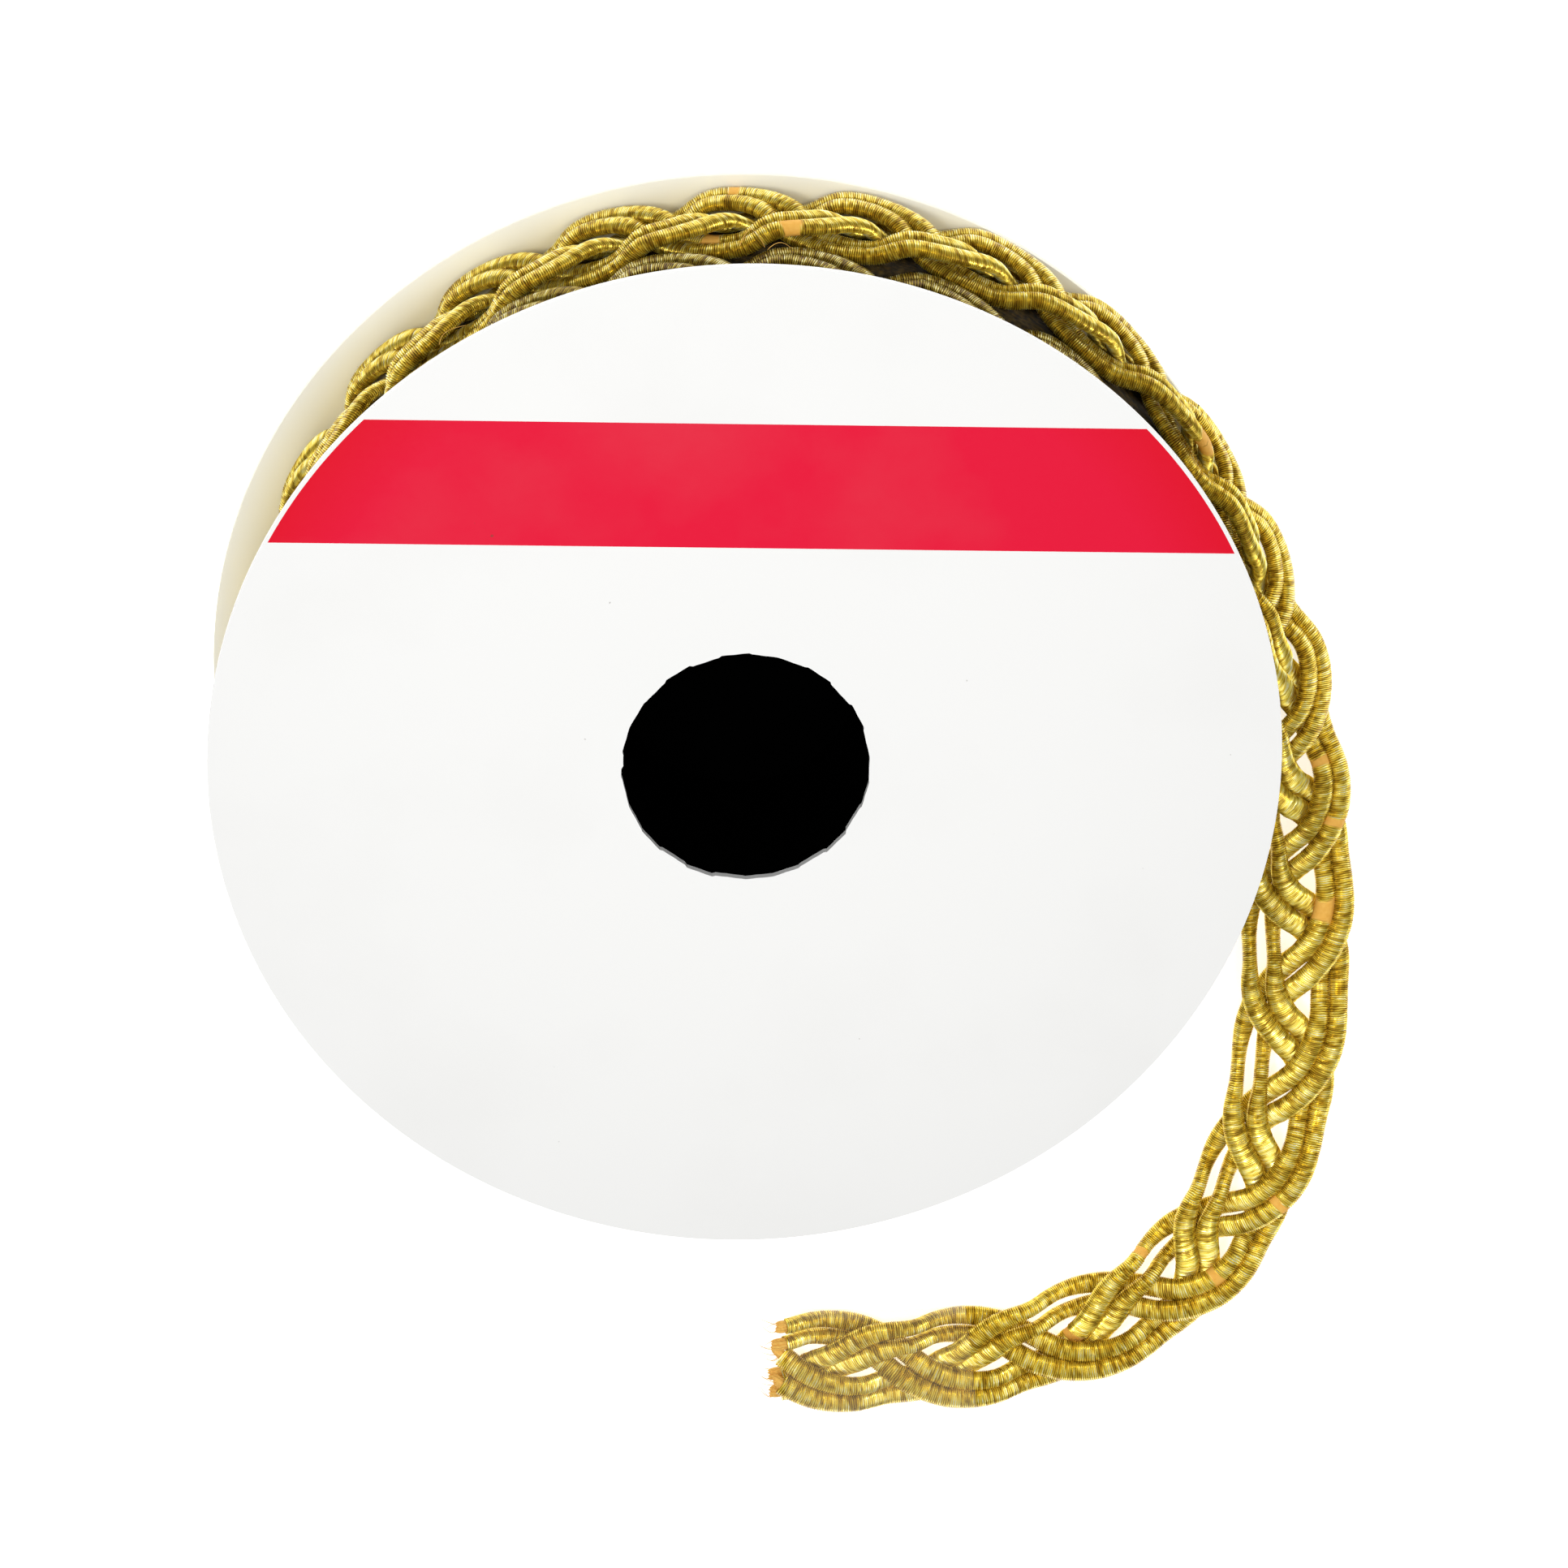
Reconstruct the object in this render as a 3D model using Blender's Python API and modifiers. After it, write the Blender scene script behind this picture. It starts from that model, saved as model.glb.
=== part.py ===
"""Spool of braid trim.

A flat metallic plait of six gimp cords, worked as three pairs, is wound between two discs on a
core.  The spool lies on its back disc with the front disc up.  The braid's last turn leaves the
winding on the right, tips over the rim and lies on the surface, curving round to a taped cut end.
Metres, +Z up.  The origin is on the spool's axis at the surface that it lies on.
"""
import math

import bmesh
import bpy
import numpy as np

MM = 0.001

# Spool
DISC_RADIUS = 54.0 * MM
SPOOL_HEIGHT = 26.2 * MM
FRONT_THICKNESS = 1.0 * MM
BACK_THICKNESS = 1.2 * MM
HOLE_RADIUS = 12.5 * MM
CORE_INNER_RADIUS = 12.7 * MM
CORE_WALL = 1.5 * MM
CORE_FLOOR = 1.2 * MM
SEAT_GAP = 0.3 * MM
DISC_STEPS = 96
CORE_STEPS = 40

# Braid: three pairs of cords in a flat plait.  A cord's solid is a little thinner than the cord,
# so that neighbours keep their distance.
CORD_DIAMETER = 1.48 * MM
FULL_CORD_RADIUS = 0.93 * MM
PAIR_SPACING = 1.95 * MM
OPEN_PAIR_SPACING = 2.55 * MM
BRAID_HALF_WIDTH = 5.65 * MM
WAVE_HEIGHT = 1.3 * MM
WAVE_FLATNESS = 1.9
EDGE_DWELL = 0.10
CROSSING_SHIFT = 0.115
PAIRS = 3

# Winding: the centre line of the outer turns as angle in degrees, radius and height in mm.
# The braid runs clockwise from the last row to the first, and leaves the spool at the first.
WINDING_COLUMNS = ("angle", "radius", "height")
WINDING = (
    (33.0, 53.4, 7.4),
    (57.0, 52.7, 7.4),
    (85.0, 51.6, 7.4),
    (115.0, 50.4, 7.4),
    (145.0, 49.3, 7.4),
    (175.0, 48.7, 7.6),
    (195.0, 49.6, 10.4),
    (222.0, 49.8, 16.4),
    (245.0, 49.5, 19.0),
    (300.0, 49.5, 19.2),
    (360.0, 49.9, 19.2),
    (420.0, 49.9, 19.2),
    (480.0, 49.2, 19.2),
    (540.0, 46.8, 18.6),
    (560.0, 45.9, 15.6),
    (585.0, 45.6, 9.8),
    (605.0, 45.8, 7.6),
    (660.0, 46.8, 7.4),
    (720.0, 48.0, 7.4),
    (775.0, 48.6, 7.4),
)
WINDING_INNER_GAP = 0.3 * MM
WINDING_FLOOR_DEPTH = 1.9 * MM
WINDING_COLUMNS_AROUND = 210
WINDING_ROWS = 19
PAIR_HALF_WIDTH = 1.9 * MM
EXIT_ANGLE = 33.0

# Loose end: centre line in mm, and the roll of the braid in degrees, from 0 on its edge with its
# face outwards to 90 flat with its face up.  The last row lies past the cut.
LOOSE_COLUMNS = ("x", "y", "z", "roll")
LOOSE_END = (
    (50.9, 18.4, 7.2, 12.0),
    (55.5, 4.7, 6.4, 36.0),
    (58.0, -9.7, 4.9, 62.0),
    (59.3, -23.5, 3.0, 82.0),
    (59.7, -37.5, 2.35, 90.0),
    (58.6, -50.5, 2.35, 90.0),
    (54.8, -62.8, 2.35, 90.0),
    (47.3, -72.9, 2.35, 90.0),
    (36.2, -78.8, 2.45, 90.0),
    (23.5, -81.2, 2.7, 90.0),
    (11.5, -81.4, 2.7, 90.0),
    (3.2, -81.3, 2.7, 90.0),
    (-12.0, -81.2, 2.7, 90.0),
)
LOOSE_LENGTH = 150.5 * MM
LOOSE_START = 2.8 * MM

# Scallops of the braid's right-hand edge, in mm from the first notch on.  The notch with the
# phase FIRST_NOTCH lies FIRST_NOTCH_BEFORE_EXIT back from the exit.
EVEN_SCALLOP = 14.0 * MM
SCALLOP_LENGTHS = (12.7, 13.3, 14.5, 13.9, 16.0, 13.2, 14.6, 13.9, 14.3, 14.8, 15.8, 12.3, 14.7)
FIRST_NOTCH = 0.25
FIRST_NOTCH_BEFORE_EXIT = 64.6 * MM
# How the plait loosens: by phase, the share of the opening between a pair's cords at the
# left-hand edge, how far that edge lags in mm, and the share of the full width.
LOOSENING_COLUMNS = ("phase", "opening", "lag", "width")
LOOSENING = (
    (4.0, 0.25, 0.0, 1.00),
    (6.0, 0.75, 0.0, 1.00),
    (7.0, 1.00, 0.6, 1.00),
    (8.5, 1.00, 1.5, 1.00),
    (13.0, 1.00, 1.5, 1.00),
    (14.3, 0.10, 1.5, 0.95),
)
POINTS_PER_ROUND = 18
ROUTE_STEPS = 24

# Tape around the cut end
TAPE_LENGTH = 20.0 * MM
TAPE_SETBACK = 0.5 * MM
TAPE_HALF_WIDTH = 6.05 * MM
TAPE_HALF_HEIGHT = 2.65 * MM
TAPE_WALL = 0.25 * MM
TAPE_SECTIONS = 7
TAPE_SIDES = 16

COLLECTION_NAME = "spool_of_braid_trim"


def clear_scene():
    """Remove whatever the file holds."""
    for item in list(bpy.data.objects):
        bpy.data.objects.remove(item, do_unlink=True)


def make_collection(name):
    """A collection for the object's parts, linked to the scene."""
    collection = bpy.data.collections.new(name)
    bpy.context.scene.collection.children.link(collection)
    return collection


def make_material(name, color, roughness, metallic=0.0, alpha=1.0):
    """A Principled material with the part's colour."""
    material = bpy.data.materials.new(name)
    material.use_nodes = True
    shader = material.node_tree.nodes["Principled BSDF"]
    shader.inputs["Base Color"].default_value = (*color, 1.0)
    shader.inputs["Roughness"].default_value = roughness
    shader.inputs["Metallic"].default_value = metallic
    shader.inputs["Alpha"].default_value = alpha
    return material


def add_object(name, data, collection, material):
    """Link a mesh or curve as a named object with its material."""
    item = bpy.data.objects.new(name, data)
    item.data.materials.append(material)
    collection.objects.link(item)
    return item


def turned_piece(name, profile, steps, collection, material):
    """A profile of (radius, height) points, turned about the spool's axis."""
    mesh = bpy.data.meshes.new(name)
    points = [(radius, 0.0, height) for radius, height in profile]
    closed = profile[0][0] > 0.0
    edges = [(i, i + 1) for i in range(len(points) - 1)]
    if closed:
        edges.append((len(points) - 1, 0))
    mesh.from_pydata(points, edges, [])
    item = add_object(name, mesh, collection, material)
    screw = item.modifiers.new("turn", "SCREW")
    screw.axis = "Z"
    screw.angle = 2.0 * math.pi
    screw.steps = steps
    screw.render_steps = steps
    screw.use_merge_vertices = True
    screw.merge_threshold = 0.00001
    screw.use_smooth_shade = False
    return item


def make_front_disc(collection):
    """The white card disc with the hole through its middle."""
    top = SPOOL_HEIGHT
    under = SPOOL_HEIGHT - FRONT_THICKNESS
    profile = [
        (HOLE_RADIUS, top),
        (DISC_RADIUS, top),
        (DISC_RADIUS, under),
        (HOLE_RADIUS, under),
    ]
    material = make_material("white_card", (0.93, 0.93, 0.91), 0.55)
    return turned_piece("front_disc", profile, DISC_STEPS, collection, material)


def make_back_disc(collection):
    """The plain ivory disc that the spool lies on."""
    profile = [
        (0.0, BACK_THICKNESS),
        (DISC_RADIUS, BACK_THICKNESS),
        (DISC_RADIUS, 0.0),
        (0.0, 0.0),
    ]
    material = make_material("ivory_board", (0.86, 0.82, 0.66), 0.5)
    return turned_piece("back_disc", profile, DISC_STEPS, collection, material)


def make_core(collection):
    """The dark core between the discs, open at the front and closed at the back."""
    outer = CORE_INNER_RADIUS + CORE_WALL
    foot = BACK_THICKNESS + SEAT_GAP
    top = SPOOL_HEIGHT - FRONT_THICKNESS - SEAT_GAP
    profile = [
        (0.0, foot + CORE_FLOOR),
        (CORE_INNER_RADIUS, foot + CORE_FLOOR),
        (CORE_INNER_RADIUS, top),
        (outer, top),
        (outer, foot),
        (0.0, foot),
    ]
    material = make_material("black_core", (0.01, 0.01, 0.01), 0.8)
    return turned_piece("core", profile, CORE_STEPS, collection, material)


def smooth_curve(knots, steps):
    """Points of a Catmull-Rom curve through the knots, with its end tangents kept."""
    knots = np.array(knots, dtype=float)
    first = 2.0 * knots[0] - knots[1]
    last = 2.0 * knots[-1] - knots[-2]
    padded = np.vstack([first, knots, last])
    points = []
    for a, b, c, d in zip(padded, padded[1:], padded[2:], padded[3:]):
        for step in range(steps):
            u = step / steps
            linear = (c - a) * u
            square = (2.0 * a - 5.0 * b + 4.0 * c - d) * u ** 2
            cube = (3.0 * b - a - 3.0 * c + d) * u ** 3
            points.append(b + 0.5 * (linear + square + cube))
    points.append(knots[-1])
    return np.array(points)


def route_knots():
    """Centre-line knots of the whole modelled braid: x, y, z in metres and roll in degrees."""
    knots = []
    for angle, radius, height in reversed(WINDING):
        turn = math.radians(angle)
        knots.append((radius * MM * math.cos(turn), radius * MM * math.sin(turn), height * MM, 0.0))
    for x, y, z, roll in LOOSE_END:
        knots.append((x * MM, y * MM, z * MM, roll))
    return knots


def fill_winding(knots):
    """Add knots on the arcs between the winding's rows, so that the curve stays round."""
    dense = []
    rows = list(reversed(WINDING))
    for (angle_a, radius_a, height_a), (angle_b, radius_b, height_b) in zip(rows, rows[1:]):
        parts = max(1, round(abs(angle_a - angle_b) / 15.0))
        for part in range(parts):
            share = part / parts
            ease = share * share * (3.0 - 2.0 * share)
            turn = math.radians(angle_a + (angle_b - angle_a) * share)
            radius = (radius_a + (radius_b - radius_a) * share) * MM
            height = (height_a + (height_b - height_a) * ease) * MM
            dense.append((radius * math.cos(turn), radius * math.sin(turn), height, 0.0))
    return dense + knots[len(rows) - 1:]


class Route:
    """The braid's centre line, read by the distance along it."""

    def __init__(self):
        curve = smooth_curve(fill_winding(route_knots()), ROUTE_STEPS)
        self.points = curve[:, :3]
        self.roll = np.radians(curve[:, 3])
        steps = np.linalg.norm(np.diff(self.points, axis=0), axis=1)
        self.distance = np.concatenate([[0.0], np.cumsum(steps)])
        self.length = self.distance[-1]
        exit_row = WINDING[0]
        turn = math.radians(exit_row[0])
        radius = exit_row[1] * MM
        leaving = np.array([radius * math.cos(turn), radius * math.sin(turn), exit_row[2] * MM])
        nearest = np.argmin(np.linalg.norm(self.points - leaving, axis=1))
        self.exit = self.distance[nearest]

    def place(self, distance):
        """Points of the centre line."""
        columns = [np.interp(distance, self.distance, self.points[:, axis]) for axis in range(3)]
        return np.stack(columns, axis=-1)

    def frame(self, distance):
        """Centre, width axis and face axis of the braid at each distance."""
        reach = 0.8 * MM
        distance = np.clip(distance, 0.0, self.length)
        centre = self.place(distance)
        ahead = self.place(np.minimum(distance + reach, self.length))
        behind = self.place(np.maximum(distance - reach, 0.0))
        along = ahead - behind
        along /= np.linalg.norm(along, axis=-1, keepdims=True)
        outward = np.cross([0.0, 0.0, 1.0], along)
        outward /= np.linalg.norm(outward, axis=-1, keepdims=True)
        radial = centre * [1.0, 1.0, 0.0]
        outward *= np.sign(np.sum(outward * radial, axis=-1, keepdims=True))
        upright = np.cross(along, outward)
        upright *= np.sign(upright[..., 2:3])
        roll = np.interp(distance, self.distance, self.roll)[..., None]
        width = np.sin(roll) * outward - np.cos(roll) * upright
        face = np.cos(roll) * outward + np.sin(roll) * upright
        return centre, width, face


class Plait:
    """Three pairs of cords in a flat plait along a route."""

    def __init__(self, route):
        self.route = route
        self.swing = BRAID_HALF_WIDTH - FULL_CORD_RADIUS - PAIR_SPACING / 2.0
        first = route.exit - FIRST_NOTCH_BEFORE_EXIT
        before = math.ceil(first / EVEN_SCALLOP)
        lengths = [EVEN_SCALLOP] * before + [length * MM for length in SCALLOP_LENGTHS]
        lengths += [EVEN_SCALLOP] * 4
        self.stations = first - before * EVEN_SCALLOP + np.concatenate([[0.0], np.cumsum(lengths)])
        self.phases = FIRST_NOTCH - before + np.arange(len(lengths) + 1)

    def station(self, phase):
        """Distance along the route at a phase counted in scallops, with soft changes of pitch."""
        spread = np.linspace(-0.8, 0.8, 9)
        weight = np.cos(0.5 * math.pi * spread) ** 2
        total = sum(w * np.interp(phase + d, self.phases, self.stations)
                    for d, w in zip(spread, weight))
        return total / weight.sum()

    def phase(self, distance):
        """Phase at a distance along the route."""
        grid = np.linspace(self.phases[0] + 1.0, self.phases[-1] - 1.0, 4000)
        return np.interp(distance, self.station(grid), grid)

    def loosening(self, phase, column):
        """One of the named columns of the loosening table, at a phase."""
        rows = np.array(LOOSENING)
        return np.interp(phase, rows[:, 0], rows[:, LOOSENING_COLUMNS.index(column)])

    def swing_at(self, turn):
        """Sideways place of a pair's middle, which dwells near the edges, as a share."""
        return (np.sin(turn) + EDGE_DWELL * np.sin(3.0 * turn)) / (1.0 - EDGE_DWELL)

    def slope_at(self, turn):
        """Change of swing_at with its turn."""
        return (np.cos(turn) + 3.0 * EDGE_DWELL * np.cos(3.0 * turn)) / (1.0 - EDGE_DWELL)

    def wave_at(self, turn):
        """Height of a pair over the plait's middle plane: over, then under, each crossing."""
        flat = math.tanh(WAVE_FLATNESS)
        return -WAVE_HEIGHT * np.tanh(WAVE_FLATNESS * np.sin(2.0 * turn)) / flat

    def line(self, pair, side, phases):
        """Points of one cord (side -1 or 1) or of its pair's middle (0), and their distances."""
        turn = 2.0 * math.pi * (phases + pair) / PAIRS
        pitch = PAIRS * (self.station(phases + 0.05) - self.station(phases - 0.05)) / 0.1
        slant = np.arctan(self.swing * self.slope_at(turn) * 2.0 * math.pi / pitch)
        opening = self.loosening(phases, "opening") * np.clip(-np.sin(turn), 0.0, 1.0) ** 2
        spacing = PAIR_SPACING + (OPEN_PAIR_SPACING - PAIR_SPACING) * opening
        across = self.swing * self.swing_at(turn) * self.loosening(phases, "width")
        across = across + side * spacing / 2.0 * np.cos(slant)
        lag = self.loosening(phases, "lag") * MM * (1.0 - np.sin(turn)) / 2.0
        along = self.station(phases) + lag - side * spacing / 2.0 * np.sin(slant)
        height = self.wave_at(turn + CROSSING_SHIFT * side * np.cos(turn))
        centre, width, face = self.route.frame(along)
        points = centre + across[..., None] * width + height[..., None] * face
        return points, along


def winding_height_field(plait, angles, heights):
    """Outer radius of the winding over a grid of angles and heights."""
    route = plait.route
    first_phase = float(plait.phase(EVEN_SCALLOP))
    last_phase = float(plait.phase(route.exit)) + 0.3
    count = int((last_phase - first_phase) * 24)
    phases = np.linspace(first_phase, last_phase, count)
    grid_angle, grid_height = np.meshgrid(angles, heights, indexing="ij")
    radius = np.full(grid_angle.shape, 0.0)
    centre = route.place(np.linspace(EVEN_SCALLOP, route.exit, count))
    layers = [(centre, BRAID_HALF_WIDTH, -WINDING_FLOOR_DEPTH, 0.0)]
    for pair in range(PAIRS):
        points, along = plait.line(pair, 0, phases)
        wound = points[along <= route.exit]
        layers.append((wound, PAIR_HALF_WIDTH, 0.0, FULL_CORD_RADIUS))
    for points, half_width, sink, crown in layers:
        point_radius = np.hypot(points[:, 0], points[:, 1])
        point_angle = np.arctan2(points[:, 1], points[:, 0])
        for start in range(0, len(points), 64):
            piece = slice(start, start + 64)
            turn = grid_angle[..., None] - point_angle[piece]
            turn = (turn + math.pi) % (2.0 * math.pi) - math.pi
            across = turn * point_radius[piece]
            rise = grid_height[..., None] - points[piece, 2]
            share = np.hypot(across, rise) / half_width
            bulge = crown * np.sqrt(np.clip(1.0 - share ** 2, 0.0, 1.0))
            found = np.where(share < 1.0, point_radius[piece] + sink + bulge, 0.0)
            radius = np.maximum(radius, found.max(axis=-1))
    floor = radius[radius > 0.0].min()
    return np.maximum(radius, floor)


def make_wound_braid(plait, collection):
    """The winding as one solid, with the plait's pairs raised on its outer side."""
    low = BACK_THICKNESS + SEAT_GAP
    high = SPOOL_HEIGHT - FRONT_THICKNESS - SEAT_GAP
    inner = CORE_INNER_RADIUS + CORE_WALL + WINDING_INNER_GAP
    column = 2.0 * math.pi / WINDING_COLUMNS_AROUND
    angles = math.radians(EXIT_ANGLE) + column * np.arange(WINDING_COLUMNS_AROUND)
    heights = np.linspace(low, high, WINDING_ROWS)
    radius = winding_height_field(plait, angles, heights)
    mesh = bmesh.new()
    rings = []
    for angle, outer in zip(angles, radius):
        section = [(inner, low)] + list(zip(outer, heights)) + [(inner, high)]
        ring = [mesh.verts.new((r * math.cos(angle), r * math.sin(angle), z)) for r, z in section]
        rings.append(ring)
    for ring, following in zip(rings, rings[1:] + rings[:1]):
        for k in range(len(ring)):
            after = (k + 1) % len(ring)
            mesh.faces.new((ring[k], following[k], following[after], ring[after]))
    bmesh.ops.recalc_face_normals(mesh, faces=mesh.faces)
    data = bpy.data.meshes.new("wound_braid")
    mesh.to_mesh(data)
    mesh.free()
    material = make_material("gold_winding", (0.62, 0.46, 0.10), 0.35, metallic=0.9)
    return add_object("wound_braid", data, collection, material)


def make_cord(name, points, collection, material):
    """A round cord along its points."""
    curve = bpy.data.curves.new(name, "CURVE")
    curve.dimensions = "3D"
    curve.bevel_depth = CORD_DIAMETER / 2.0
    curve.bevel_resolution = 2
    curve.use_fill_caps = True
    spline = curve.splines.new("POLY")
    spline.points.add(len(points) - 1)
    for target, point in zip(spline.points, points):
        target.co = (*point, 1.0)
    return add_object(name, curve, collection, material)


def loose_phases(plait, pair, side):
    """Phases of a loose cord's points: its ends, and even steps that fall on the crossings."""
    start = plait.route.exit + LOOSE_START
    end = plait.route.exit + LOOSE_LENGTH
    wide = np.linspace(plait.phase(start) - 1.0, plait.phase(end) + 1.0, 2000)
    along = plait.line(pair, side, wide)[1]
    first, last = np.interp([start, end], along, wide)
    step = PAIRS / POINTS_PER_ROUND
    even = (np.arange(200) + 0.5) * step - pair
    inside = even[(even > first + 0.5 * step) & (even < last - 0.5 * step)]
    return np.concatenate([[first], inside, [last]])


def make_loose_cords(plait, collection):
    """The six cords of the loose end, from just past the winding to the cut end."""
    material = make_material("gold_cord", (0.72, 0.55, 0.13), 0.3, metallic=0.9)
    route = plait.route
    for pair in range(PAIRS):
        for side in (-1, 1):
            number = pair * 2 + (side + 1) // 2 + 1
            points = plait.line(pair, side, loose_phases(plait, pair, side))[0]
            make_cord(f"loose_cord_{number}", points, collection, material)


def squared(value):
    """A sine or cosine with its rounds flattened, for a section between round and square."""
    return math.copysign(abs(value) ** 0.5, value)


def make_end_tape(route, collection):
    """The sleeve of clear tape that binds the cords at the cut end."""
    mesh = bmesh.new()
    finish = route.exit + LOOSE_LENGTH - TAPE_SETBACK
    stations = np.linspace(finish - TAPE_LENGTH, finish, TAPE_SECTIONS)
    centres, widths, faces = route.frame(stations)
    turns = 2.0 * math.pi * np.arange(TAPE_SIDES) / TAPE_SIDES
    rings = []
    for wall in (0.0, TAPE_WALL):
        layer = []
        for centre, width, face in zip(centres, widths, faces):
            ring = []
            for turn in turns:
                x = (TAPE_HALF_WIDTH - wall) * squared(math.cos(turn))
                z = (TAPE_HALF_HEIGHT - wall) * squared(math.sin(turn))
                ring.append(mesh.verts.new(centre + x * width + z * face))
            layer.append(ring)
        rings.append(layer)
    outer, inner = rings
    for k in range(TAPE_SIDES):
        after = (k + 1) % TAPE_SIDES
        for layer in (outer, inner):
            for ring, following in zip(layer, layer[1:]):
                mesh.faces.new((ring[k], ring[after], following[after], following[k]))
        for end in (0, -1):
            mesh.faces.new((outer[end][k], outer[end][after], inner[end][after], inner[end][k]))
    bmesh.ops.recalc_face_normals(mesh, faces=mesh.faces)
    data = bpy.data.meshes.new("end_tape")
    mesh.to_mesh(data)
    mesh.free()
    material = make_material("clear_tape", (0.95, 0.93, 0.86), 0.15, alpha=0.35)
    return add_object("end_tape", data, collection, material)


def main():
    """Build every piece."""
    clear_scene()
    collection = make_collection(COLLECTION_NAME)
    route = Route()
    plait = Plait(route)
    make_back_disc(collection)
    make_core(collection)
    make_wound_braid(plait, collection)
    make_front_disc(collection)
    make_loose_cords(plait, collection)
    make_end_tape(route, collection)


main()
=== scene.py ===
"""Looks of the spool of braid trim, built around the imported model.  Metres, +Z up."""
import math

import bmesh
import bpy
import numpy as np
from mathutils import Matrix, Vector


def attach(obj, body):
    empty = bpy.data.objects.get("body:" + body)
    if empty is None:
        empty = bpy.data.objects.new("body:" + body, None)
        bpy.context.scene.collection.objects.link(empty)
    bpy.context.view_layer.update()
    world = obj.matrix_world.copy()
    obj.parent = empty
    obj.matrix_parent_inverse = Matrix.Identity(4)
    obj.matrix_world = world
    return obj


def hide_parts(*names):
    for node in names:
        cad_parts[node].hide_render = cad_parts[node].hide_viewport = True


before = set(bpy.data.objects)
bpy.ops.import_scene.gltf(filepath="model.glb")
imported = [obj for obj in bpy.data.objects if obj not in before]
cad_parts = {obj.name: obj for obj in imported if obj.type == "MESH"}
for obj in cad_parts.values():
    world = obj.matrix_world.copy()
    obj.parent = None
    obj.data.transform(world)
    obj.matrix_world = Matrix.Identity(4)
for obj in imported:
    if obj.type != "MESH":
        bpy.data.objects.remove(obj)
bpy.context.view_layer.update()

MM = 0.001

# Camera, fitted to the outlines of the two discs in the photograph
PHOTO_SIDE = 1932
SENSOR = 36.0
FOCAL_PIXELS = 9755.0
FACE_FROM_CAMERA = (-3.83 * MM, -1.67 * MM, 795.0 * MM)
CAMERA_TILT = math.radians(25.37)
CAMERA_LEAN = math.radians(-5.21)
LABEL_TURN = math.radians(6.4)

# Spool
DISC_RADIUS = 54.0 * MM
SPOOL_HEIGHT = 26.2 * MM
FRONT_THICKNESS = 0.8 * MM
BACK_THICKNESS = 1.2 * MM
HOLE_RADIUS = 12.5 * MM
FILM_LENGTH = 20.0 * MM
FILM_HALF_WIDTH = 5.9 * MM
FILM_HALF_HEIGHT = 2.4 * MM
RIM_BEVEL = 0.12 * MM
HOLE_FACETS = 26
HOLE_UNEVENNESS = 0.1 * MM
BAND_LOW = 24.0 * MM
BAND_HIGH = 37.3 * MM

# Braid, with the route of the part's source; its cords are thicker and its wave a little flatter
# than the solids', and the card above is thinner than its solid
CORD_RADIUS = 0.93 * MM
PAIR_SPACING = 1.95 * MM
OPEN_PAIR_SPACING = 2.55 * MM
BRAID_HALF_WIDTH = 5.65 * MM
WAVE_HEIGHT = 1.2 * MM
WAVE_FLATNESS = 1.9
EDGE_DWELL = 0.10
CROSSING_SHIFT = 0.115
PAIRS = 3
WINDING = (
    (33.0, 0.0534, 0.0074),
    (57.0, 0.0527, 0.0074),
    (85.0, 0.0516, 0.0074),
    (115.0, 0.0504, 0.0074),
    (145.0, 0.0493, 0.0074),
    (175.0, 0.0487, 0.0076),
    (195.0, 0.0496, 0.0104),
    (222.0, 0.0498, 0.0164),
    (245.0, 0.0495, 0.0190),
    (300.0, 0.0495, 0.0192),
    (360.0, 0.0499, 0.0192),
    (420.0, 0.0499, 0.0192),
    (480.0, 0.0492, 0.0192),
    (540.0, 0.0468, 0.0186),
    (560.0, 0.0459, 0.0156),
    (585.0, 0.0456, 0.0098),
    (605.0, 0.0458, 0.0076),
    (660.0, 0.0468, 0.0074),
    (720.0, 0.0480, 0.0074),
    (775.0, 0.0486, 0.0074),
)
LOOSE_END = (
    (0.0509, 0.0184, 0.0072, 12.0),
    (0.0555, 0.0047, 0.0064, 36.0),
    (0.0580, -0.0097, 0.0049, 62.0),
    (0.0593, -0.0235, 0.0030, 82.0),
    (0.0597, -0.0375, 0.00235, 90.0),
    (0.0586, -0.0505, 0.00235, 90.0),
    (0.0548, -0.0628, 0.00235, 90.0),
    (0.0473, -0.0729, 0.00235, 90.0),
    (0.0362, -0.0788, 0.00245, 90.0),
    (0.0235, -0.0812, 0.0027, 90.0),
    (0.0115, -0.0814, 0.0027, 90.0),
    (0.0032, -0.0813, 0.0027, 90.0),
    (-0.0120, -0.0812, 0.0027, 90.0),
)
LOOSE_LENGTH = 150.5 * MM
EVEN_SCALLOP = 14.0 * MM
SCALLOP_LENGTHS = (12.7, 13.3, 14.5, 13.9, 16.0, 13.2, 14.6, 13.9, 14.3, 14.8, 15.8, 12.3, 14.7)
FIRST_NOTCH = 0.25
FIRST_NOTCH_BEFORE_EXIT = 64.6 * MM
LOOSENING_COLUMNS = ("phase", "opening", "lag", "width")
LOOSENING = (
    (4.0, 0.25, 0.0, 1.00),
    (6.0, 0.75, 0.0, 1.00),
    (7.0, 1.00, 0.6, 1.00),
    (8.5, 1.00, 1.5, 1.00),
    (13.0, 1.00, 1.5, 1.00),
    (14.3, 0.10, 1.5, 0.95),
)
ROUTE_STEPS = 24
# A cord's width across the braid's face, as a share of its diameter, and the spacing of a pair's
# cords: pressed flat on the diagonals, narrow in the loops of the left-hand edge
DIAGONAL_WIDTH = 1.42
RIGHT_WIDTH = 1.18
LEFT_WIDTH = 0.88
DIAGONAL_SPACING = 2.35 * MM

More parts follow.
